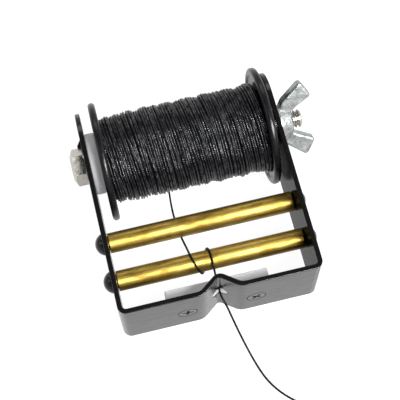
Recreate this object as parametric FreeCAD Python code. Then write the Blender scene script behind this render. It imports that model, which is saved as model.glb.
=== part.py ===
import FreeCAD, Part
import math
import os

# Bow-string serving jig: a bent steel strip frame carries a spool of thread on a hex bolt,
# two brass rollers on long rivets, and a nylon guide block above a V-notch in its base bar.
# Working axes: X along the bolt, Y from the base bar towards the spool, Z across the strip.
# The finished jig is tilted about X so that it lies on the spool rims and the bar's back edge.
# All sizes are in millimetres.

# Frame strip
frame_width = 66.0
leg_height = 76.2
strip_width = 27.0
strip_thickness = 1.6
corner_inside_radius = 1.2
strip_edge_radius = 0.25
notch_half_width = 6.2
notch_virtual_depth = 4.6
notch_base_radius = 3.5
notch_root_radius = 1.5
thread_hole_radius = 2.6
bolt_hole_radius = 3.3
lug_height = 1.5
lug_length = 2.9
lug_width = 5.0
lug_gap_from_axis = 6.2
lug_crest = 0.5

# Heights above the outer face of the base bar
lower_roller_height = 15.3
upper_roller_height = 28.7
bolt_height = 57.9

# Quarter-inch hex bolt, three inches long, with its nut hardware
bolt_radius = 3.1
bolt_end = 75.3
bolt_end_chamfer = 0.6
thread_pitch = 1.27
thread_depth = 0.7
thread_start = 56.7
head_across_flats = 11.1
head_thickness = 4.8
head_washer_face = 0.4
head_washer_face_radius = 5.1
head_end_radius = 4.2
head_chamfer_angle = 27.0
head_flat_angle = 108.0
washer_bore_radius = 3.2
nut_washer_radius = 7.0
nut_washer_thickness = 1.0
nut_bore_radius = 3.15
nut_hub_height = 4.8
nut_hub_base_radius = 5.9
nut_hub_top_radius = 4.7
nut_edge_round = 0.5
wing_thickness = 3.8
wing_edge_radius = 0.9
wing_angle = 55.0
# Outline of one wing: distance from the nut's base, distance from its axis, corner radius
wing_outline = [
    (0.5, 3.4, 0.0),
    (0.5, 5.6, 0.5),
    (2.0, 8.4, 2.0),
    (9.0, 14.6, 1.3),
    (12.5, 8.5, 1.2),
    (6.6, 5.2, 2.0),
    (4.6, 3.4, 0.0),
]

# Spool and its washers
flange_radius = 20.35
flange_rim_width = 2.5
flange_rim_depth = 2.1
flange_web_thickness = 1.5
flange_web_inset = 0.55
flange_rim_step = 0.4
flange_web_fillet = 0.5
flange_rim_flat = 0.3
hub_radius = 7.0
hub_length = 8.0
hub_wall = 1.8
plug_radius = 7.6
plug_length = 4.0
plug_wall = 1.8
spool_bore_radius = 3.2
core_radius = 9.0
nylon_washer_radius = 10.5
nylon_washer_thickness = 3.2
nylon_washer_round = 0.6
spool_washer_radius = 8.0
spool_end_play = 0.05
spool_length = 58.25
winding_radius = 14.9
winding_end_gap = 0.05
winding_edge_round = 0.6

# Rollers and their rivets
roller_radius = 3.4
roller_bore_radius = 2.5
roller_end_gap = 0.2
roller_edge_round = 0.25
pin_radius = 2.45
pin_hole_radius = 2.5
pin_head_radius = 3.55
pin_head_height = 2.8
pin_head_skirt = 0.5

# Guide block and its two countersunk screws
block_length = 34.1
block_shift = -0.35
block_top = 7.7
block_near_face = 2.3
block_far_face = -4.1
block_edge_radius = 0.5
block_notch_clearance = 0.25
block_notch_ceiling = 6.25
block_notch_step = 1.5
block_hole_radius = 0.65
block_hole_offset = 1.07
block_hole_mouth = 0.4
boss_radius = 2.5
boss_recess = 0.15
screw_spacing = 22.8
screw_offset = -1.7
screw_sink_radius = 3.4
screw_head_radius = 2.95
screw_shank_radius = 1.7
screw_tip_height = 6.2
screw_point_length = 1.0
screw_point_radius = 0.6
screw_hole_radius = 1.8
block_screw_radius = 1.75
block_screw_spare = 0.3
recess_length = 3.8
recess_width = 1.0
recess_depth = 1.2
recess_turn = {"left": 8.0, "right": 40.0}

# Thread
thread_radius = 0.36
thread_gap = 0.05
lead_stand_off = 0.5
corner_share = 0.45
upper_roller_gap = 0.3
wrap_corners = 14
lead_start_x = 26.3
lead_bow = 1.0
lead_upper_roller_x = 25.5
wrap_start_x = 26.4
wrap_end_x = 33.05
wrap_ease = 1.25
guide_entry = (33.05, 7.8, 0.9)
guide_exit = (33.05, 4.0, 1.35)

# Free tail of the thread after the notch, in the finished frame; it ends lying on Z = 0
tail_route = [
    (-4.09, -36.3, 15.3),
    (-2.9, -39.6, 13.4),
    (-1.65, -44.9, 10.3),
    (0.5, -52.3, 5.5),
    (2.85, -58.4, 1.1),
    (5.0, -63.5, 0.38),
    (8.3, -68.3, 0.38),
    (12.9, -72.6, 0.38),
    (18.3, -75.8, 0.38),
    (24.3, -78.0, 0.38),
    (30.3, -79.2, 0.38),
]

X_AXIS = FreeCAD.Vector(1, 0, 0)
Y_AXIS = FreeCAD.Vector(0, 1, 0)
Z_AXIS = FreeCAD.Vector(0, 0, 1)
half_strip = strip_width / 2
mid_x = frame_width / 2
inner_left = strip_thickness
inner_right = frame_width - strip_thickness
spool_left = inner_left + nylon_washer_thickness + spool_end_play
spool_right = spool_left + spool_length


def vec(x, y, z):
    return FreeCAD.Vector(x, y, z)


def unit(vector):
    return vector * (1 / vector.Length)


def corner_arc(before, corner, after, setback):
    """Tangent arc that starts and ends at one setback either side of a corner."""
    back = unit(before - corner)
    ahead = unit(after - corner)
    start = corner + back * setback
    end = corner + ahead * setback
    half_turn = (math.pi - back.getAngle(ahead)) / 2
    radius = setback / math.tan(half_turn)
    sagitta = radius / math.cos(half_turn) - radius
    middle = corner + unit(back + ahead) * sagitta
    return start, middle, end, radius


def rounded_path(points, radii):
    """Edges of a polyline in which each inner corner gets its own radius."""
    edges = []
    last = points[0]
    for before, corner, after, radius in zip(points, points[1:], points[2:], radii):
        if radius > 0:
            turn = math.pi - (before - corner).getAngle(after - corner)
            start, middle, end, _ = corner_arc(before, corner, after, radius * math.tan(turn / 2))
            edges.append(Part.LineSegment(last, start).toShape())
            edges.append(Part.Arc(start, middle, end).toShape())
            last = end
        else:
            edges.append(Part.LineSegment(last, corner).toShape())
            last = corner
    edges.append(Part.LineSegment(last, points[-1]).toShape())
    return edges


def offset_polyline(points, distance):
    """The polyline moved sideways to the left of its direction, in the XY plane."""
    lines = []
    for first, second in zip(points, points[1:]):
        direction = unit(second - first)
        shift = vec(-direction.y, direction.x, 0) * distance
        lines.append((first + shift, direction, second + shift))
    moved = [lines[0][0]]
    for (start, heading, _), (other, other_heading, _) in zip(lines, lines[1:]):
        cross = heading.x * other_heading.y - heading.y * other_heading.x
        gap = other - start
        along = (gap.x * other_heading.y - gap.y * other_heading.x) / cross
        moved.append(start + heading * along)
    moved.append(lines[-1][2])
    return moved


def polygon_prism(points, direction):
    return Part.Face(Part.makePolygon(points + [points[0]])).extrude(direction)


def revolve_about(profile, centre_y, centre_z=0.0):
    """Turn (distance along X, radius) points about an axis along X."""
    points = [vec(x, centre_y + radius, centre_z) for x, radius in profile]
    face = Part.Face(Part.makePolygon(points + [points[0]]))
    return face.revolve(vec(0, centre_y, centre_z), X_AXIS, 360)


def rod(radius, start_x, end_x, centre_y, centre_z=0.0):
    return Part.makeCylinder(radius, end_x - start_x, vec(start_x, centre_y, centre_z), X_AXIS)


def round_ends(shape, radius):
    """Fillet the circular edges of a turned piece."""
    circles = [edge for edge in shape.Edges if edge.Curve.TypeId == "Part::GeomCircle"]
    return shape.makeFillet(radius, circles)


def ring(inner, outer, start_x, end_x, centre_y):
    return rod(outer, start_x, end_x, centre_y).cut(rod(inner, start_x, end_x, centre_y))


def strip_outline():
    """Outer face of the bent strip, down the left leg, along the bar and up the right leg."""
    return [
        vec(0, leg_height, 0),
        vec(0, 0, 0),
        vec(mid_x - notch_half_width, 0, 0),
        vec(mid_x, notch_virtual_depth, 0),
        vec(mid_x + notch_half_width, 0, 0),
        vec(frame_width, 0, 0),
        vec(frame_width, leg_height, 0),
    ]


def bent_strip():
    outside = strip_outline()
    inside = offset_polyline(outside, strip_thickness)
    inside_radii = [
        corner_inside_radius,
        notch_base_radius,
        notch_root_radius + strip_thickness,
        notch_base_radius,
        corner_inside_radius,
    ]
    outside_radii = [radius + strip_thickness for radius in inside_radii]
    outside_radii[2] = notch_root_radius
    edges = rounded_path(outside, outside_radii) + rounded_path(inside, inside_radii)
    edges.append(Part.LineSegment(outside[0], inside[0]).toShape())
    edges.append(Part.LineSegment(outside[-1], inside[-1]).toShape())
    face = Part.Face(Part.Wire(Part.__sortEdges__(edges)))
    strip = face.extrude(Z_AXIS * strip_width)
    strip.translate(vec(0, 0, -half_strip))
    return strip


def leg_end_limit():
    """Everything inside the full-round ends of the legs."""
    end_centre = leg_height - half_strip
    body = Part.makeBox(frame_width, end_centre, strip_width, vec(0, 0, -half_strip))
    return body.fuse(rod(half_strip, 0, frame_width, end_centre))


def lug_wedge(base_x):
    """Ramped lug lanced out of the left leg, its flat side facing the bolt head."""
    low = bolt_height + lug_gap_from_axis
    profile = [
        vec(base_x, low, -lug_width / 2),
        vec(base_x - lug_height, low, -lug_width / 2),
        vec(base_x - lug_height, low + lug_crest, -lug_width / 2),
        vec(base_x, low + lug_length, -lug_width / 2),
    ]
    return polygon_prism(profile, Z_AXIS * lug_width)


def screw_positions():
    return {
        "left": vec(mid_x - screw_spacing / 2, 0, screw_offset),
        "right": vec(mid_x + screw_spacing / 2, 0, screw_offset),
    }


def make_frame():
    strip = bent_strip().common(leg_end_limit())
    long_edges = [
        edge for edge in strip.Edges
        if abs(abs(edge.CenterOfMass.z) - half_strip) < 0.01 and edge.Length > 0.5
    ]
    strip = strip.makeFillet(strip_edge_radius, long_edges)
    for height, radius in (
        (bolt_height, bolt_hole_radius),
        (lower_roller_height, pin_hole_radius),
        (upper_roller_height, pin_hole_radius),
    ):
        strip = strip.cut(rod(radius, -1, frame_width + 1, height))
    thread_hole = Part.makeCylinder(thread_hole_radius, 8, vec(mid_x, 1, 0), Y_AXIS)
    strip = strip.cut(thread_hole)
    for place in screw_positions().values():
        strip = strip.cut(Part.makeCylinder(screw_hole_radius, 4, place - Y_AXIS, Y_AXIS))
        sink_end = screw_sink_radius - strip_thickness
        sink = Part.makeCone(screw_sink_radius, sink_end, strip_thickness, place, Y_AXIS)
        strip = strip.cut(sink)
    strip = strip.fuse(lug_wedge(0))
    return strip.cut(lug_wedge(inner_left)).removeSplitter()


def make_thread_boss():
    """Round boss of the guide block that fills the bar's thread hole, just below its surface."""
    boss = Part.makeCylinder(boss_radius, block_notch_ceiling, vec(mid_x, 0, 0), Y_AXIS)
    surface = offset_polyline(strip_outline(), boss_recess)[2:5]
    limit = [vec(surface[0].x, block_top, 0), *surface, vec(surface[2].x, block_top, 0)]
    limit = [point - Z_AXIS * half_strip for point in limit]
    return boss.common(polygon_prism(limit, Z_AXIS * (half_strip + block_near_face)))


def make_guide_block():
    size_z = block_near_face - block_far_face
    corner = vec(mid_x + block_shift - block_length / 2, strip_thickness, block_far_face)
    block = Part.makeBox(block_length, block_top - strip_thickness, size_z, corner)
    block = block.makeFillet(block_edge_radius, block.Edges)
    relief = offset_polyline(strip_outline(), strip_thickness + block_notch_clearance)[2:5]
    shoulder = relief[0].y
    slope = (relief[1].y - shoulder) / (relief[1].x - relief[0].x)
    half_ceiling = (relief[1].y - block_notch_ceiling) / slope
    half_profile = [
        (half_ceiling, block_notch_ceiling),
        (relief[1].x - relief[0].x, shoulder),
        (relief[1].x - relief[0].x + block_notch_step, shoulder),
        (relief[1].x - relief[0].x + block_notch_step, strip_thickness - 0.1),
    ]
    outline = [vec(mid_x - across, y, block_far_face - 1) for across, y in reversed(half_profile)]
    outline += [vec(mid_x + across, y, block_far_face - 1) for across, y in half_profile]
    block = block.cut(polygon_prism(outline, Z_AXIS * (size_z + 2)))
    block = block.fuse(make_thread_boss())
    hole_base = vec(mid_x, 0, block_hole_offset)
    block = block.cut(Part.makeCylinder(block_hole_radius, 8, hole_base, Y_AXIS))
    mouth_radius = block_hole_radius + block_hole_mouth
    mouth_base = vec(mid_x, block_top - block_hole_mouth, block_hole_offset)
    mouth = Part.makeCone(block_hole_radius, mouth_radius, block_hole_mouth, mouth_base, Y_AXIS)
    block = block.cut(mouth)
    for place in screw_positions().values():
        depth = screw_tip_height + block_screw_spare
        block = block.cut(Part.makeCylinder(block_screw_radius, depth, place, Y_AXIS))
    return block


def make_screw(place, turn):
    """Countersunk screw whose head, flush with the bar, leaves a fine ring inside its sink."""
    rim = screw_sink_radius - screw_head_radius
    rim_base = place + Y_AXIS * rim
    sink_end = screw_sink_radius - strip_thickness
    head = Part.makeCylinder(screw_head_radius, rim, place, Y_AXIS)
    cone = Part.makeCone(screw_head_radius, sink_end, strip_thickness - rim, rim_base, Y_AXIS)
    shank_length = screw_tip_height - screw_point_length
    shank = Part.makeCylinder(screw_shank_radius, shank_length, place, Y_AXIS)
    tip_base = place + Y_AXIS * shank_length
    tip = Part.makeCone(screw_shank_radius, screw_point_radius, screw_point_length, tip_base, Y_AXIS)
    screw = head.fuse(cone).fuse(shank).fuse(tip)
    for length_x, length_z in ((recess_length, recess_width), (recess_width, recess_length)):
        corner = place + vec(-length_x / 2, 0, -length_z / 2)
        slot = Part.makeBox(length_x, recess_depth, length_z, corner)
        slot.rotate(place, Y_AXIS, turn)
        screw = screw.cut(slot)
    return screw


def bolt_head():
    across_corners = head_across_flats / math.cos(math.radians(30))
    corner_radius = across_corners / 2
    corners = []
    for step in range(6):
        angle = math.radians(head_flat_angle + 30 + 60 * step)
        y = bolt_height + corner_radius * math.cos(angle)
        corners.append(vec(-head_thickness, y, corner_radius * math.sin(angle)))
    prism = polygon_prism(corners, X_AXIS * (head_thickness - head_washer_face))
    slope = math.tan(math.radians(head_chamfer_angle))
    chamfer_depth = (corner_radius - head_end_radius) * slope
    limit = revolve_about([
        (-head_thickness, 0),
        (-head_thickness, head_end_radius),
        (-head_thickness + chamfer_depth, corner_radius),
        (0, corner_radius),
        (0, 0),
    ], bolt_height)
    face = rod(head_washer_face_radius, -head_washer_face, 0, bolt_height)
    return prism.common(limit).fuse(face)


def make_hex_bolt():
    root_radius = bolt_radius - thread_depth
    flat = thread_pitch / 8
    profile = [(-head_washer_face, 0), (-head_washer_face, bolt_radius)]
    x = thread_start
    while x + thread_pitch < bolt_end - bolt_end_chamfer:
        profile += [
            (x, bolt_radius),
            (x + thread_pitch / 2 - flat, root_radius),
            (x + thread_pitch / 2, root_radius),
            (x + thread_pitch - flat, bolt_radius),
        ]
        x += thread_pitch
    profile += [
        (bolt_end - bolt_end_chamfer, bolt_radius),
        (bolt_end, bolt_radius - bolt_end_chamfer),
        (bolt_end, 0),
    ]
    shank = revolve_about(profile, bolt_height)
    return bolt_head().fuse(shank)


def make_nylon_washer():
    right = inner_left + nylon_washer_thickness
    blank = rod(nylon_washer_radius, inner_left, right, bolt_height)
    blank = round_ends(blank, nylon_washer_round)
    return blank.cut(rod(washer_bore_radius, inner_left, right, bolt_height))


def make_spool_washer():
    left = spool_right + spool_end_play
    return ring(washer_bore_radius, spool_washer_radius, left, inner_right, bolt_height)


def make_nut_washer():
    right = frame_width + nut_washer_thickness
    return ring(washer_bore_radius, nut_washer_radius, frame_width, right, bolt_height)


def make_flange(outer_x, side):
    """One spool flange; side is 1 when the spool's middle lies towards +X of the flange."""
    web_near = outer_x + side * flange_web_inset
    web_far = web_near + side * flange_web_thickness
    plug_end = web_far + side * plug_length
    hub_end = outer_x + side * hub_length
    rim_inner = flange_radius - flange_rim_depth
    profile = [
        (outer_x, spool_bore_radius),
        (outer_x, hub_radius),
        (web_near, hub_radius),
        (web_near, rim_inner + flange_rim_step),
        (outer_x, rim_inner + flange_rim_step),
        (outer_x, flange_radius),
        (outer_x + side * flange_rim_width, flange_radius),
        (outer_x + side * flange_rim_width, rim_inner),
        (web_far, rim_inner - flange_web_fillet),
        (web_far, plug_radius),
        (plug_end, plug_radius),
        (plug_end, plug_radius - plug_wall),
        (web_far, plug_radius - plug_wall),
        (web_far, spool_bore_radius + hub_wall),
        (hub_end, spool_bore_radius + hub_wall),
        (hub_end, spool_bore_radius),
    ]
    flange = revolve_about(profile, bolt_height)
    rim_edges = [
        edge for edge in flange.Edges
        if edge.Curve.TypeId == "Part::GeomCircle" and abs(edge.Curve.Radius - flange_radius) < 0.01
    ]
    return flange.makeFillet((flange_rim_width - flange_rim_flat) / 2, rim_edges)


def web_inner_faces():
    inset = flange_web_inset + flange_web_thickness
    return spool_left + inset, spool_right - inset


def make_spool_core():
    left, right = web_inner_faces()
    return ring(plug_radius, core_radius, left, right, bolt_height)


def make_winding():
    left, right = web_inner_faces()
    left += winding_end_gap
    right -= winding_end_gap
    body = ring(core_radius, winding_radius, left, right, bolt_height)
    outer = [
        edge for edge in body.Edges
        if edge.Curve.TypeId == "Part::GeomCircle" and edge.Curve.Radius > core_radius + 1
    ]
    return body.makeFillet(winding_edge_round, outer)


def make_roller(height):
    left = inner_left + roller_end_gap
    right = inner_right - roller_end_gap
    tube = ring(roller_bore_radius, roller_radius, left, right, height)
    return round_ends(tube, roller_edge_round)


def dome_head(base_x, side, height):
    """Domed rivet head on the outside of a leg; side is the way it stands out along X."""
    dome_rise = pin_head_height - pin_head_skirt
    sphere_radius = (pin_head_radius ** 2 + dome_rise ** 2) / (2 * dome_rise)
    centre_x = base_x + side * (pin_head_height - sphere_radius)
    ball = Part.makeSphere(sphere_radius, vec(centre_x, height, 0))
    start = min(base_x, base_x + side * pin_head_height)
    return ball.common(rod(pin_head_radius, start, start + pin_head_height, height))


def make_roller_pin(height):
    shank = rod(pin_radius, 0, frame_width, height)
    left_head = dome_head(0, -1, height)
    right_head = dome_head(frame_width, 1, height)
    return shank.fuse(left_head).fuse(right_head)


def make_wing():
    base = frame_width + nut_washer_thickness
    points = [
        vec(base + along, bolt_height + out, -wing_thickness / 2)
        for along, out, _ in wing_outline
    ]
    radii = [radius for _, _, radius in wing_outline[1:-1]]
    edges = rounded_path(points, radii)
    edges.append(Part.LineSegment(points[-1], points[0]).toShape())
    blade = Part.Face(Part.Wire(edges)).extrude(Z_AXIS * wing_thickness)
    rim = [
        edge for edge in blade.Edges
        if abs(abs(edge.CenterOfMass.z) - wing_thickness / 2) < 0.01
    ]
    return blade.makeFillet(wing_edge_radius, rim)


def make_wing_nut():
    base = frame_width + nut_washer_thickness
    top = base + nut_hub_height
    hub = revolve_about([
        (base, 0),
        (base, nut_hub_base_radius - nut_edge_round),
        (base + nut_edge_round, nut_hub_base_radius),
        (base + 2 * nut_edge_round, nut_hub_base_radius),
        (top - nut_edge_round, nut_hub_top_radius),
        (top, nut_hub_top_radius - nut_edge_round),
        (top, 0),
    ], bolt_height)
    wing = make_wing()
    other = wing.copy()
    other.rotate(vec(0, bolt_height, 0), X_AXIS, 180)
    nut = hub.fuse(wing).fuse(other)
    nut = nut.cut(rod(nut_bore_radius, base - 1, top + 2, bolt_height))
    nut.rotate(vec(0, bolt_height, 0), X_AXIS, wing_angle)
    return nut


def cord_tube(points):
    """Round thread along straight runs joined by tangent arcs; prints radii and volume error."""
    edges = []
    radii = []
    last = points[0]
    for before, corner, after in zip(points, points[1:], points[2:]):
        shorter = min((corner - before).Length, (after - corner).Length)
        start, middle, end, radius = corner_arc(before, corner, after, corner_share * shorter)
        edges.append(Part.LineSegment(last, start).toShape())
        edges.append(Part.Arc(start, middle, end).toShape())
        radii.append(round(radius, 2))
        last = end
    edges.append(Part.LineSegment(last, points[-1]).toShape())
    path = Part.Wire(edges)
    section = Part.Wire(Part.Circle(points[0], points[1] - points[0], thread_radius).toShape())
    tube = path.makePipeShell([section], True, False)
    expected = math.pi * thread_radius ** 2 * path.Length
    print("cord length", round(path.Length, 2), "smallest radius", min(radii))
    print("cord volume over section times length", round(tube.Volume / expected, 4))
    return tube


def around_roller(height, first_angle, last_angle, corners, x_at, gap=0.0):
    """Corner points of a thread wrapped round a roller, angles measured from +Y towards +Z."""
    path_radius = roller_radius + thread_radius + thread_gap
    step = (last_angle - first_angle) / corners
    corner_radius = path_radius / math.cos(math.radians(step / 2)) + gap
    points = []
    for index in range(corners):
        angle = math.radians(first_angle + (index + 0.5) * step)
        y = height + corner_radius * math.cos(angle)
        z = corner_radius * math.sin(angle)
        points.append(vec(x_at((index + 0.5) / corners), y, z))
    return points


def lead_route():
    """Thread off the winding, behind the upper roller, round the lower one and to the hole."""
    path_radius = roller_radius + thread_radius + thread_gap
    spool_path = winding_radius + lead_stand_off + thread_radius
    rise = (spool_path - path_radius) / (bolt_height - upper_roller_height)
    leave_angle = -math.degrees(math.acos(-rise))
    cross = 2 * path_radius / (upper_roller_height - lower_roller_height)
    cross_angle = math.degrees(math.acos(cross))
    start = vec(
        lead_start_x,
        bolt_height + spool_path * math.cos(math.radians(leave_angle)),
        spool_path * math.sin(math.radians(leave_angle)),
    )
    behind = around_roller(
        upper_roller_height, leave_angle, cross_angle - 180, 1,
        lambda part: lead_upper_roller_x, upper_roller_gap)
    bow = (start + behind[0]) * 0.5 - X_AXIS * lead_bow
    entry = vec(*guide_entry)
    drop = lower_roller_height - entry.y
    reach = math.hypot(drop, entry.z)
    release = 180 - math.degrees(math.atan2(entry.z, drop) + math.acos(path_radius / reach))
    span = wrap_end_x - wrap_start_x
    wrap = around_roller(
        lower_roller_height, cross_angle, 360 + release, wrap_corners,
        lambda part: wrap_start_x + span * math.sin(part * math.pi / 2) ** wrap_ease)
    return [start, bow] + behind + wrap + [entry, vec(*guide_exit)]


def rest_tilt():
    """Angle at which the rims of both flanges and the bar's back edge touch one plane."""
    reach = math.hypot(bolt_height, half_strip)
    return math.degrees(math.asin(flange_radius / reach) - math.atan2(half_strip, bolt_height))


def build_nodes():
    screws = screw_positions()
    return {
        "frame": make_frame(),
        "guide_block": make_guide_block(),
        "guide_screw_left": make_screw(screws["left"], recess_turn["left"]),
        "guide_screw_right": make_screw(screws["right"], recess_turn["right"]),
        "hex_bolt": make_hex_bolt(),
        "nylon_washer": make_nylon_washer(),
        "spool_washer": make_spool_washer(),
        "nut_washer": make_nut_washer(),
        "wing_nut": make_wing_nut(),
        "spool_flange_left": make_flange(spool_left, 1),
        "spool_flange_right": make_flange(spool_right, -1),
        "spool_core": make_spool_core(),
        "line_winding": make_winding(),
        "roller_upper": make_roller(upper_roller_height),
        "roller_lower": make_roller(lower_roller_height),
        "roller_pin_upper": make_roller_pin(upper_roller_height),
        "roller_pin_lower": make_roller_pin(lower_roller_height),
    }


def settle(nodes):
    """Tilt the jig about X, stand it on Z = 0 and centre it on the origin."""
    for shape in nodes.values():
        shape.rotate(vec(0, 0, 0), X_AXIS, rest_tilt())
    box = Part.makeCompound(list(nodes.values())).optimalBoundingBox(False, False)
    shift = vec(-(box.XMin + box.XMax) / 2, -(box.YMin + box.YMax) / 2, -box.ZMin)
    for shape in nodes.values():
        shape.translate(shift)
    return shift


def settled_point(point, shift):
    """A working-axes point carried into the finished frame."""
    turn = FreeCAD.Rotation(X_AXIS, rest_tilt())
    return turn.multVec(point) + shift


nodes = build_nodes()
shift = settle(nodes)
route = [settled_point(point, shift) for point in lead_route()]
route += [vec(*point) for point in tail_route]
nodes["line_run"] = cord_tube(route)
os.makedirs("parts", exist_ok=True)
print("tilt", rest_tilt(), "shift", shift)
for name, shape in nodes.items():
    print(name, "volume", round(shape.Volume, 1), "solids", len(shape.Solids), shape.isValid())
    shape.exportStep("parts/" + name + ".step")
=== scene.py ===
import math

import bmesh
import bpy
import numpy as np
from mathutils import Matrix, Vector


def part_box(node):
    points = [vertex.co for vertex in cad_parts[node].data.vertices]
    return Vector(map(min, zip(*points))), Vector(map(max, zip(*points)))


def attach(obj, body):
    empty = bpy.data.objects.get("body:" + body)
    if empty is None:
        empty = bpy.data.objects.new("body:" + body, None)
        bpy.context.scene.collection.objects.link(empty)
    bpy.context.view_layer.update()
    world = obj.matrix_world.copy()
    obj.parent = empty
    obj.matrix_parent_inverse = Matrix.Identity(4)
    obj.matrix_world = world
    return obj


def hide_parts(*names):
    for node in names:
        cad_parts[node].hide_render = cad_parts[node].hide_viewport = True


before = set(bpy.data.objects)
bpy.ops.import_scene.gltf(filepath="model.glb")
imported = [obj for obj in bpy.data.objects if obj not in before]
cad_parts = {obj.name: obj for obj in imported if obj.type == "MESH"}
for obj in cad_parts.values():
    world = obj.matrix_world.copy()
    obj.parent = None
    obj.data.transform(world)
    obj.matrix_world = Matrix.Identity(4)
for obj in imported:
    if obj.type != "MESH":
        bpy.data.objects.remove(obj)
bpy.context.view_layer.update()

# Sizes shared with the CAD, in metres in the jig's own axes: X along the bolt, Y from the
# base bar towards the spool, Z across the strip.
bolt_height = 0.0579
lower_roller_height = 0.0153
upper_roller_height = 0.0287
half_strip = 0.0135
flange_radius = 0.02035
strip_thickness = 0.0016
roller_radius = 0.0034
thread_radius = 0.00036
thread_gap = 0.00005
winding_radius = 0.0149

# Camera, in the jig's own axes
camera_place = (0.006218, -0.096975, 0.340159)
camera_forward = (0.077134, 0.364164, -0.928134)
camera_right = (0.971596, -0.236341, -0.011986)
camera_lens = 98.74

bolt_to_edge = math.hypot(bolt_height, half_strip)
rest_tilt = math.asin(flange_radius / bolt_to_edge) - math.atan2(half_strip, bolt_height)
flange_low, flange_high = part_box("spool_flange_left")
flange_centre = (Vector(flange_low) + Vector(flange_high)) / 2
jig_turn = Matrix.Rotation(rest_tilt, 3, "X")
jig_shift = Vector((
    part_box("nylon_washer")[0][0] - strip_thickness,
    flange_centre.y - bolt_height * math.cos(rest_tilt),
    flange_centre.z - bolt_height * math.sin(rest_tilt),
))


def from_jig(x, y, z):
    """A point in the jig's own axes carried into the finished frame."""
    return jig_turn @ Vector((x, y, z)) + jig_shift


# ---------------------------------------------------------------- camera

def make_camera():
    """A long lens above the base bar, turned with the jig."""
    data = bpy.data.cameras.new("camera")
    data.lens = camera_lens
    data.sensor_width = 36.0
    data.clip_start = 0.01
    data.clip_end = 10.0
    camera = bpy.data.objects.new("camera", data)
    bpy.context.scene.collection.objects.link(camera)
    forward = (jig_turn @ Vector(camera_forward)).normalized()
    right = jig_turn @ Vector(camera_right)
    right = (right - forward * right.dot(forward)).normalized()
    up = right.cross(forward)
    turn = Matrix((right, up, -forward)).transposed()
    camera.matrix_world = Matrix.Translation(from_jig(*camera_place)) @ turn.to_4x4()
    bpy.context.scene.camera = camera


# ---------------------------------------------------------------- the free thread

lead_start_x = 0.0263
lead_stand_off = 0.0005
lead_bow = 0.0010
lead_upper_roller_x = 0.0255
wrap_start_x = 0.0264
wrap_end_x = 0.03305
wrap_ease = 1.25
wrap_corners = 14
upper_roller_gap = 0.0003
near_roller = 6 * 2 * thread_radius
free_sides = 10
table_height = 0.00038
guide_entry = (0.03305, 0.0078, 0.0009)
guide_exit = (0.03305, 0.0040, 0.00135)
tail_route = [
    (-0.00409, -0.0363, 0.0153),
    (-0.0029, -0.0396, 0.0134),
    (-0.00165, -0.0449, 0.0103),
    (0.0005, -0.0523, 0.0055),
    (0.00285, -0.0584, 0.0011),
    (0.0050, -0.0635, table_height),
    (0.0083, -0.0683, table_height),
    (0.0129, -0.0726, table_height),
    (0.0183, -0.0758, table_height),
    (0.0243, -0.0780, table_height),
    (0.0303, -0.0792, table_height),
]
path_radius = roller_radius + thread_radius + thread_gap
spool_path = winding_radius + lead_stand_off + thread_radius
leave_angle = -math.acos(-(spool_path - path_radius) / (bolt_height - upper_roller_height))
cross_angle = math.acos(2 * path_radius / (upper_roller_height - lower_roller_height))


def around_roller(height, first_angle, last_angle, corners, x_at, gap=0.0):
    """Corner points of a thread wrapped round a roller, angles measured from +Y towards +Z."""
    step = (last_angle - first_angle) / corners
    corner_radius = path_radius / math.cos(step / 2) + gap
    points = []
    for index in range(corners):
        angle = first_angle + (index + 0.5) * step
        y = height + corner_radius * math.cos(angle)
        points.append(Vector((x_at((index + 0.5) / corners), y, corner_radius * math.sin(angle))))
    return points


def towards(first, second):
    """A point on a straight run, six diameters from its first end."""
    return first + (second - first).normalized() * near_roller


def thread_route():
    """Off the winding, behind the upper roller, round the lower one, out of the hole, along the table."""
    start = Vector((
        lead_start_x,
        bolt_height + spool_path * math.cos(leave_angle),
        spool_path * math.sin(leave_angle),
    ))
    behind = around_roller(
        upper_roller_height, leave_angle, cross_angle - math.pi, corners=1,
        x_at=lambda part: lead_upper_roller_x, gap=upper_roller_gap)[0]
    bow = (start + behind) / 2 - Vector((lead_bow, 0.0, 0.0))
    entry = Vector(guide_entry)
    drop = lower_roller_height - entry.y
    reach = math.hypot(drop, entry.z)
    release = math.pi - math.atan2(entry.z, drop) - math.acos(path_radius / reach)
    span = wrap_end_x - wrap_start_x
    wrap = around_roller(
        lower_roller_height, cross_angle, 2 * math.pi + release, corners=wrap_corners,
        x_at=lambda part: wrap_start_x + span * math.sin(part * math.pi / 2) ** wrap_ease)
    lead = [start, bow, towards(behind, bow), behind, towards(behind, wrap[0]), towards(wrap[0], behind)]
    lead += wrap + [towards(wrap[-1], entry), entry, Vector(guide_exit)]
    return [from_jig(*point) for point in lead] + [Vector(point) for point in tail_route]


def route_centreline():
    """Points along one smooth NURBS line through the thread's route."""
    points = thread_route()
    curve = bpy.data.curves.new("line_run_route", "CURVE")
    curve.dimensions = "3D"
    curve.resolution_u = 10
    spline = curve.splines.new("NURBS")
    spline.points.add(len(points) - 1)
    for target, point in zip(spline.points, points):
        target.co = (*point, 1.0)
    spline.order_u = 3
    spline.use_endpoint_u = True
    route = bpy.data.objects.new("line_run_route", curve)
    line = bpy.data.meshes.new_from_object(route)
    places = np.array([vertex.co for vertex in line.vertices])
    bpy.data.objects.remove(route)
    bpy.data.meshes.remove(line)
    return places


def carried_frames(places):
    """Sideways directions carried along a line without twisting."""
    ahead = np.gradient(places, axis=0)
    ahead /= np.linalg.norm(ahead, axis=1)[:, None]
    up = np.cross(ahead[0], (1.0, 0.0, 0.0))
    ups = []
    for direction in ahead:
        up = up - direction * np.dot(up, direction)
        up = up / np.linalg.norm(up)
        ups.append(up)
    return np.array(ups)


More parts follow.
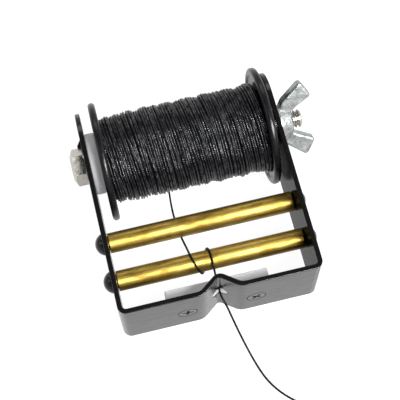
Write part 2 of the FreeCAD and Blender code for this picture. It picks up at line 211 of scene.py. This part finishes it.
def tube_mesh(name, paths, sides, tube_radius):
    """One mesh of tubes along (places, ups) pairs; U is metres along a tube and V is turns round it."""
    verts = []
    faces = []
    uvs = []
    offset = 0
    ring_angle = np.arange(sides) * 2 * math.pi / sides
    for places, ups in paths:
        count = len(places)
        ahead = np.gradient(places, axis=0)
        ahead /= np.linalg.norm(ahead, axis=1)[:, None]
        side = np.cross(ahead, ups)
        side /= np.linalg.norm(side, axis=1)[:, None]
        up = np.cross(side, ahead)
        ring = places[:, None, :] + tube_radius * (
            up[:, None, :] * np.cos(ring_angle)[None, :, None]
            + side[:, None, :] * np.sin(ring_angle)[None, :, None])
        verts.append(ring.reshape(-1, 3))
        row = np.arange(count - 1)[:, None] * sides + offset
        here = np.arange(sides)[None, :]
        following = (here + 1) % sides
        corners = [row + here, row + following, row + sides + following, row + sides + here]
        faces.append(np.stack(corners, axis=2).reshape(-1, 4))
        length = np.concatenate([[0.0], np.cumsum(np.linalg.norm(np.diff(places, axis=0), axis=1))])
        near = np.broadcast_to(length[:-1, None], (count - 1, sides))
        far = np.broadcast_to(length[1:, None], (count - 1, sides))
        around = np.broadcast_to(np.arange(sides) / sides, (count - 1, sides))
        beyond = around + 1 / sides
        corner_uvs = [near, around, near, beyond, far, beyond, far, around]
        uvs.append(np.stack(corner_uvs, axis=2).reshape(-1, 2))
        offset += count * sides
    verts = np.concatenate(verts)
    faces = np.concatenate(faces)
    mesh = bpy.data.meshes.new(name)
    mesh.from_pydata(verts.tolist(), [], faces.tolist())
    mesh.uv_layers.new(name="UVMap").data.foreach_set("uv", np.concatenate(uvs).ravel())
    mesh.shade_smooth()
    tube = bpy.data.objects.new(name, mesh)
    bpy.context.scene.collection.objects.link(tube)
    return tube


def cap_ends(tube, count, sides):
    """Close both ends of a single tube."""
    mesh = bmesh.new()
    mesh.from_mesh(tube.data)
    mesh.verts.ensure_lookup_table()
    mesh.faces.new([mesh.verts[index] for index in range(sides)][::-1])
    mesh.faces.new([mesh.verts[(count - 1) * sides + index] for index in range(sides)])
    mesh.to_mesh(tube.data)
    mesh.free()


def make_thread_run():
    """The free thread, from the winding to its cut end on the table."""
    places = route_centreline()
    thread = tube_mesh("line_run_thread", [(places, carried_frames(places))], free_sides, thread_radius)
    cap_ends(thread, len(places), free_sides)
    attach(thread, "base")
    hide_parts("line_run")
    return thread


# ---------------------------------------------------------------- materials

class Graph:
    """A node material built step by step; every input takes a value or another node's output."""

    def __init__(self, name):
        self.material = bpy.data.materials.new(name)
        self.material.use_nodes = True
        self.tree = self.material.node_tree
        self.shader = self.tree.nodes["Principled BSDF"]
        self.where = self.node("ShaderNodeTexCoord").outputs["Object"]

    def node(self, kind, inputs=None, **settings):
        made = self.tree.nodes.new(kind)
        for key, value in settings.items():
            setattr(made, key, value)
        for key, value in (inputs or {}).items():
            self.set(made, key, value)
        return made

    def set(self, node, key, value):
        if isinstance(value, bpy.types.NodeSocket):
            self.tree.links.new(value, node.inputs[key])
        else:
            node.inputs[key].default_value = value

    def surface(self, **inputs):
        for key, value in inputs.items():
            self.set(self.shader, key.replace("_", " "), value)

    def stretch(self, x, y, z):
        made = self.node("ShaderNodeMapping", {"Vector": self.where, "Scale": (x, y, z)})
        return made.outputs["Vector"]

    def noise(self, vector, scale, detail, roughness=0.55):
        made = self.node("ShaderNodeTexNoise", {
            "Vector": vector, "Scale": scale, "Detail": detail, "Roughness": roughness})
        return made.outputs["Fac"]

    def ramp(self, value, low, high, from_low=0.0, from_high=1.0):
        made = self.node("ShaderNodeMapRange", {
            "Value": value, "From Min": from_low, "From Max": from_high, "To Min": low, "To Max": high})
        return made.outputs["Result"]

    def mix(self, factor, first, second):
        made = self.node("ShaderNodeMix", data_type="RGBA")
        self.set(made, 0, factor)
        self.set(made, 6, first)
        self.set(made, 7, second)
        return made.outputs[2]

    def maths(self, operation, first, second=0.0):
        made = self.node("ShaderNodeMath", operation=operation)
        self.set(made, 0, first)
        self.set(made, 1, second)
        return made.outputs[0]

    def bump(self, height, distance):
        made = self.node("ShaderNodeBump", {"Height": height, "Distance": distance, "Strength": 1.0})
        self.surface(Normal=made.outputs["Normal"])


# Painted shade on the inside face of the right leg: its shine drops to nearly nothing within this reach
# of the face, against the shine of the rest of the paint.
shaded_face_shine = 0.022
open_face_shine = 0.5
shaded_face_reach = 0.0002
scratch_share = 0.15
strand_pitch = 0.0021
strand_count = 3.0


def enamel_material(name, base, wear, wear_amount, shaded_face_x=None):
    """Gloss paint: a faint orange peel, hairline scratches and small worn spots.

    The face at the given X along the object's X axis gets painted shade: its shine is turned nearly off,
    so its reflection reads much darker, standing in for the shaded floor it mirrors.
    """
    graph = Graph(name)
    peel = graph.noise(graph.where, scale=500.0, detail=2.0)
    scratches = graph.noise(graph.stretch(160.0, 2600.0, 700.0), scale=1.0, detail=3.0)
    spots = graph.noise(graph.where, scale=420.0, detail=5.0, roughness=0.65)
    worn = graph.ramp(spots, 0.0, wear_amount, from_low=0.70, from_high=0.78)
    graph.surface(
        Base_Color=graph.mix(worn, base, wear),
        Roughness=graph.ramp(scratches, 0.16, 0.30, from_low=0.40, from_high=0.75),
        IOR=1.32)
    # Painted shade: the shine is nearly off on that one face, which darkens its reflection.
    if shaded_face_x is not None:
        along = graph.node("ShaderNodeSeparateXYZ", {"Vector": graph.where}).outputs["X"]
        away = graph.maths("ABSOLUTE", graph.maths("SUBTRACT", along, shaded_face_x))
        shine = graph.ramp(away, shaded_face_shine, open_face_shine, shaded_face_reach / 2, shaded_face_reach)
        graph.surface(Specular_IOR_Level=shine)
    relief = graph.maths("ADD", peel, graph.maths("MULTIPLY", scratches, scratch_share))
    graph.bump(relief, distance=0.000012)
    return graph.material


def brass_material():
    """Drawn brass tube: streaks along its length, brown tarnish patches and fine rubs round it."""
    graph = Graph("brass_tube")
    deep_gold = (0.18, 0.118, 0.020, 1.0)
    pale_gold = (0.31, 0.220, 0.055, 1.0)
    brown = (0.11, 0.066, 0.011, 1.0)
    dark_brown = (0.07, 0.045, 0.012, 1.0)
    rub_share = 0.3
    streaks = graph.noise(graph.stretch(70.0, 3200.0, 3200.0), scale=1.0, detail=4.0, roughness=0.65)
    rubs = graph.noise(graph.stretch(2600.0, 260.0, 260.0), scale=1.0, detail=3.0)
    patches = graph.noise(graph.stretch(120.0, 420.0, 420.0), scale=1.0, detail=6.0, roughness=0.65)
    specks = graph.noise(graph.stretch(500.0, 2400.0, 2400.0), scale=1.0, detail=4.0, roughness=0.65)
    tarnish = graph.ramp(patches, 0.0, 0.9, from_low=0.46, from_high=0.62)
    dark = graph.ramp(specks, 0.0, 0.85, from_low=0.60, from_high=0.70)
    clean = graph.mix(streaks, deep_gold, pale_gold)
    tarnished = graph.mix(tarnish, clean, brown)
    wear = graph.maths("ADD", streaks, patches)
    graph.surface(
        Base_Color=graph.mix(dark, tarnished, dark_brown), Metallic=1.0,
        Roughness=graph.ramp(wear, 0.34, 0.54, from_low=0.75, from_high=1.25))
    relief = graph.maths("ADD", streaks, graph.maths("MULTIPLY", rubs, rub_share))
    graph.bump(relief, distance=0.000007)
    return graph.material


def shade_of(colour, brightness):
    """The same colour, lighter or darker."""
    return tuple(min(1.0, part * brightness) for part in colour[:3]) + (1.0,)


def zinc_material(name, base, rough_low, rough_high, grain, depth, stain_amount):
    """Zinc plating or casting: mottled brightness, soft grain and a few dull stains."""
    graph = Graph(name)
    mottle = graph.noise(graph.where, scale=330.0, detail=4.0, roughness=0.6)
    fine = graph.noise(graph.where, scale=grain, detail=3.0, roughness=0.6)
    spots = graph.noise(graph.where, scale=520.0, detail=5.0, roughness=0.65)
    stain = graph.ramp(spots, 0.0, stain_amount, from_low=0.50, from_high=0.75)
    bright = shade_of(base, 1.5)
    dull = shade_of(base, 0.4)
    colour = graph.mix(mottle, base, bright)
    graph.surface(
        Base_Color=graph.mix(stain, colour, dull), Metallic=1.0,
        Roughness=graph.ramp(mottle, rough_low, rough_high, from_low=0.3, from_high=0.7))
    graph.bump(fine, distance=depth)
    return graph.material


def nylon_material(name, pale, deep):
    """White nylon: translucent, with flow marks from moulding, faint grubby patches and a faint painted
    glow that stands in for light passing through it.
    """
    graph = Graph(name)
    grubby = (0.19, 0.185, 0.17, 1.0)
    cloud = graph.noise(graph.where, scale=190.0, detail=3.0)
    spots = graph.noise(graph.where, scale=620.0, detail=5.0, roughness=0.65)
    grime = graph.ramp(spots, 0.0, 0.25, from_low=0.6, from_high=0.85)
    grain = graph.noise(graph.where, scale=1500.0, detail=3.0)
    colour = graph.mix(cloud, deep, pale)
    # The white emission is a painted glow, not a lamp: it stands in for light passing through the nylon.
    graph.surface(
        Base_Color=graph.mix(grime, colour, grubby), Roughness=graph.ramp(cloud, 0.5, 0.7), IOR=1.3,
        Subsurface_Weight=0.25, Subsurface_Scale=0.002,
        Emission_Color=(1.0, 1.0, 1.0, 1.0), Emission_Strength=0.15)
    graph.bump(grain, distance=0.00002)
    return graph.material


def plastic_material():
    """Gloss black moulded plastic with turning marks and fine scuffs."""
    graph = Graph("black_plastic")
    deep_black = (0.0015, 0.0015, 0.002, 1.0)
    hazy_black = (0.004, 0.004, 0.0045, 1.0)
    scuffs = graph.noise(graph.stretch(600.0, 2400.0, 700.0), scale=1.0, detail=4.0)
    haze = graph.noise(graph.where, scale=260.0, detail=3.0)
    graph.surface(
        Base_Color=graph.mix(haze, deep_black, hazy_black),
        Roughness=graph.ramp(scuffs, 0.20, 0.36, from_low=0.35, from_high=0.75), IOR=1.24)
    graph.bump(graph.maths("ADD", scuffs, haze), distance=0.000015)
    return graph.material


def thread_material(name, gloss_low, gloss_high, waxed):
    """Thread of three twisted strands, whose waxed stretches glint between dull ones."""
    graph = Graph(name)
    dark = (0.0015, 0.0015, 0.002, 1.0)
    fibre_share = 1.5
    uv = graph.node("ShaderNodeTexCoord").outputs["UV"]
    parts = graph.node("ShaderNodeSeparateXYZ", {"Vector": uv})
    along = graph.maths("MULTIPLY", parts.outputs["X"], strand_count / strand_pitch)
    around = graph.maths("MULTIPLY", parts.outputs["Y"], strand_count)
    lay = graph.maths("SINE", graph.maths("MULTIPLY", graph.maths("ADD", along, around), 2 * math.pi))
    fibre = graph.noise(graph.where, scale=2600.0, detail=3.0, roughness=0.6)
    run = graph.node("ShaderNodeCombineXYZ", {"X": parts.outputs["X"]}).outputs["Vector"]
    stretches = graph.noise(run, scale=330.0, detail=4.0, roughness=0.7)
    wax = graph.ramp(stretches, 0.0, 1.0, from_low=0.34, from_high=0.60)
    patches = graph.noise(graph.where, scale=220.0, detail=2.0)
    broad = graph.ramp(patches, 0.45, 1.0, from_low=0.35, from_high=0.65)
    gloss = graph.maths("MULTIPLY", wax, broad)
    graph.surface(
        Base_Color=graph.mix(wax, dark, waxed),
        Roughness=graph.ramp(wax, 0.42, 0.25),
        IOR=graph.ramp(gloss, gloss_low, gloss_high))
    relief = graph.maths("ADD", lay, graph.maths("MULTIPLY", fibre, fibre_share))
    graph.bump(relief, distance=0.00004)
    return graph.material


def paint_nodes():
    """Give each CAD piece that stays visible its finish."""
    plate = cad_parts["frame"]
    inner_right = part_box("frame")[1][0] - strip_thickness
    inner_face = plate.matrix_world.inverted() @ Vector((inner_right, 0.0, 0.0))
    # The inside face of the right leg gets painted shade: a nearly shineless face whose reflection reads
    # dark.
    enamel = enamel_material(
        "black_enamel", base=(0.0018, 0.0018, 0.002, 1.0), wear=(0.04, 0.036, 0.032, 1.0),
        wear_amount=0.4, shaded_face_x=inner_face.x)
    rivet = enamel_material(
        "black_rivet", base=(0.0025, 0.0025, 0.0025, 1.0), wear=(0.10, 0.09, 0.08, 1.0), wear_amount=0.4)
    screw = enamel_material(
        "black_screw", base=(0.020, 0.018, 0.016, 1.0), wear=(0.20, 0.18, 0.16, 1.0), wear_amount=0.8)
    steel = zinc_material(
        "zinc_steel", base=(0.33, 0.32, 0.29, 1.0), rough_low=0.20, rough_high=0.34,
        grain=2200.0, depth=0.00002, stain_amount=0.25)
    casting = zinc_material(
        "zinc_casting", base=(0.24, 0.252, 0.25, 1.0), rough_low=0.26, rough_high=0.48,
        grain=520.0, depth=0.00030, stain_amount=1.0)
    block_nylon = nylon_material(
        "block_nylon", pale=(0.28, 0.28, 0.286, 1.0), deep=(0.245, 0.245, 0.25, 1.0))
    # The washer is the same nylon as the block; its copy is paler as painted light, brightening it where
    # it sits in the shade between plate and spool.
    washer_nylon_painted_light = nylon_material(
        "washer_nylon_painted_light", pale=(0.33, 0.33, 0.34, 1.0), deep=(0.29, 0.29, 0.30, 1.0))
    plastic = plastic_material()
    brass = brass_material()
    finishes = {
        "frame": enamel,
        "guide_block": block_nylon,
        "guide_screw_left": screw,
        "guide_screw_right": screw,
        "hex_bolt": steel,
        "nylon_washer": washer_nylon_painted_light,
        "spool_washer": steel,
        "nut_washer": steel,
        "wing_nut": casting,
        "spool_flange_left": plastic,
        "spool_flange_right": plastic,
        "spool_core": plastic,
        "roller_upper": brass,
        "roller_lower": brass,
        "roller_pin_upper": rivet,
        "roller_pin_lower": rivet,
    }
    for name, finish in finishes.items():
        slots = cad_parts[name].data.materials
        slots.clear()
        slots.append(finish)


# ---------------------------------------------------------------- the winding

# The ends and the outside of the wound turns, along and about the bolt
winding_left = 0.00700
winding_right = 0.06095
winding_surface = 0.0151
wound_radius = 0.00031
# Angle, from +Y towards +Z, where the turns lean most: the side that faces the camera
front_angle = math.radians(114.5)
steps_per_turn = 72
# How many turns each irregularity takes to change
lean_turns = 5
bunch_turns = 0.8
rise_turns = 0.7
rise_height = 0.00022
tube_sides = 6
winding_seed = 7


def swelling(distance, height, reach):
    """A smooth swelling of the surface that fades with distance from one end."""
    return height * np.exp(-(distance / reach) ** 2)


def wave(x, height, length, start=0.0):
    return height * np.sin(x * 2 * math.pi / length + start)


def winding_profile(x):
    """How far the surface stands off its mean radius along the spool."""
    left = swelling(x - winding_left, height=-0.0008, reach=0.0045)
    right = swelling(winding_right - x, height=0.0007, reach=0.0030)
    long_wave = wave(x, height=0.00022, length=0.0071)
    short_wave = wave(x, height=0.00016, length=0.0043, start=1.0)
    return left + right + (long_wave + short_wave)


def smooth_noise(rng, count, every):
    """Slowly varying noise between -1 and 1, one value per step."""
    knots = rng.uniform(-1.0, 1.0, int(count / every) + 3)
    place = np.arange(count) / every
    base = place.astype(int)
    part = place - base
    part = part * part * (3 - 2 * part)
    return knots[base] * (1 - part) + knots[base + 1] * part


def layer_path(rng, pitch, sink, lean, lean_change, jitter, start_turn=0.0):
    """One layer of turns: a slow helix whose turns lean, bunch up and cross one another.

    sink is how deep the layer lies under the surface, and start_turn is its first angle.
    """
    turns = int((winding_right - winding_left) / pitch)
    count = turns * steps_per_turn
    angle = np.arange(count) * 2 * math.pi / steps_per_turn + start_turn
    drift = np.linspace(winding_left, winding_right, count)
    leaning = lean + lean_change * smooth_noise(rng, count, steps_per_turn * lean_turns)
    bunch = jitter * smooth_noise(rng, count, steps_per_turn * bunch_turns)
    x = drift + leaning * np.sin(angle - front_angle) + bunch
    x = np.clip(x, winding_left + wound_radius, winding_right - wound_radius)
    rise = rise_height * smooth_noise(rng, count, steps_per_turn * rise_turns)
    radius = winding_surface - wound_radius - sink + winding_profile(x) + rise
    return x, angle, radius


def wound_path(x, angle, radius):
    """Places and outward directions of turns given by distance along, angle and radius."""
    out = np.stack([np.zeros(len(x)), np.cos(angle), np.sin(angle)], axis=1)
    places = out * radius[:, None]
    places[:, 0] = x
    turn = np.array(jig_turn)
    axis = np.array(from_jig(0.0, bolt_height, 0.0))
    return places @ turn.T + axis, out @ turn.T


def make_winding(finish, shaded_finish):
    """Loose outer turns over close inner layers, which get a duller copy of the thread finish as painted
    shade.
    """
    rng = np.random.default_rng(winding_seed)
    inner = [
        layer_path(
            rng, pitch=0.00054, sink=0.00088, lean=0.0004, lean_change=0.0001, jitter=0.0001),
        layer_path(
            rng, pitch=0.00085, sink=0.00044, lean=0.0009, lean_change=0.0003, jitter=0.0003,
            start_turn=2.0),
    ]
    outer = [
        layer_path(
            rng, pitch=0.00084, sink=0.0, lean=0.0012, lean_change=0.0004, jitter=0.0003,
            start_turn=4.0),
        layer_path(
            rng, pitch=0.00420, sink=-0.00016, lean=0.0016, lean_change=0.0010, jitter=0.0012,
            start_turn=1.0),
    ]
    paths = [wound_path(*layer) for layer in inner + outer]
    winding = tube_mesh("line_winding_turns", paths, tube_sides, wound_radius)
    winding.data.materials.append(finish)
    winding.data.materials.append(shaded_finish)
    # The inner layers take the duller copy of the thread finish: painted shade for the shadow they lie in
    # under the outer turns.
    inner_faces = sum(len(layer[0]) - 1 for layer in inner) * tube_sides
    shades = np.zeros(len(winding.data.polygons), dtype=np.int32)
    shades[:inner_faces] = 1
    winding.data.polygons.foreach_set("material_index", shades)
    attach(winding, "spool")
    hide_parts("line_winding")


# ---------------------------------------------------------------- floor and light

light_target = (0.0, 0.0, 0.02)


def make_floor():
    """A pale floor that glows evenly, just under the surface that the jig lies on."""
    reach = 3.0
    drop = 0.00002
    mesh = bpy.data.meshes.new("floor")
    mesh.from_pydata(
        [(-reach, -reach, 0.0), (reach, -reach, 0.0), (reach, reach, 0.0), (-reach, reach, 0.0)],
        [], [(0, 1, 2, 3)])
    floor = bpy.data.objects.new("floor", mesh)
    floor.location.z = -drop
    bpy.context.scene.collection.objects.link(floor)
    graph = Graph("pale_floor")
    graph.surface(
        Base_Color=(0.10, 0.10, 0.10, 1.0), Roughness=0.9, Specular_IOR_Level=0.0,
        Emission_Color=(1.0, 1.0, 1.0, 1.0), Emission_Strength=0.96)
    mesh.materials.append(graph.material)


def area_light(name, place, width, height, power):
    """A rectangular lamp aimed at the middle of the jig."""
    data = bpy.data.lights.new(name, "AREA")
    data.shape = "RECTANGLE"
    data.size = width
    data.size_y = height
    data.energy = power
    light = bpy.data.objects.new(name, data)
    light.location = place
    light.rotation_euler = (Vector(light_target) - Vector(place)).to_track_quat("-Z", "Y").to_euler()
    bpy.context.scene.collection.objects.link(light)


def make_world():
    """A studio whose ceiling is dim and whose walls are bright near the horizon."""
    world = bpy.data.worlds.new("studio")
    world.use_nodes = True
    tree = world.node_tree
    where = tree.nodes.new("ShaderNodeTexCoord")
    parts = tree.nodes.new("ShaderNodeSeparateXYZ")
    level = tree.nodes.new("ShaderNodeMapRange")
    level.interpolation_type = "SMOOTHSTEP"
    for key, value in (("From Min", 0.15), ("From Max", 0.85), ("To Min", 0.9), ("To Max", 0.10)):
        level.inputs[key].default_value = value
    tree.links.new(where.outputs["Generated"], parts.inputs["Vector"])
    tree.links.new(parts.outputs["Z"], level.inputs["Value"])
    tree.links.new(level.outputs["Result"], tree.nodes["Background"].inputs["Strength"])
    tree.nodes["Background"].inputs["Color"].default_value = (1.0, 1.0, 1.0, 1.0)
    bpy.context.scene.world = world


def make_light():
    """One strong key from the right of the camera, and weak fills behind and at both sides."""
    area_light("key", place=(0.28, -0.50, 0.68), width=0.42, height=0.30, power=34.0)
    area_light("back", place=(0.05, 0.62, 0.64), width=0.80, height=0.30, power=3.0)
    area_light("left", place=(-0.85, 0.10, 0.60), width=0.40, height=0.40, power=1.5)
    area_light("right", place=(0.85, 0.15, 0.60), width=0.40, height=0.40, power=1.5)
    bpy.context.scene.view_settings.view_transform = "Standard"


make_camera()
thread = make_thread_run()
wound_thread = thread_material(
    "waxed_thread", gloss_low=1.06, gloss_high=1.88, waxed=(0.002, 0.002, 0.0035, 1.0))
# Painted shade: the same thread with far less shine, for the inner layers that lie in shadow.
shaded_thread = thread_material(
    "shaded_thread", gloss_low=1.08, gloss_high=1.20, waxed=(0.002, 0.002, 0.003, 1.0))
loose_thread = thread_material(
    "loose_thread", gloss_low=1.05, gloss_high=1.25, waxed=(0.004, 0.004, 0.005, 1.0))
thread.data.materials.append(loose_thread)
make_winding(wound_thread, shaded_thread)
paint_nodes()
make_floor()
make_world()
make_light()
bpy.context.view_layer.update()
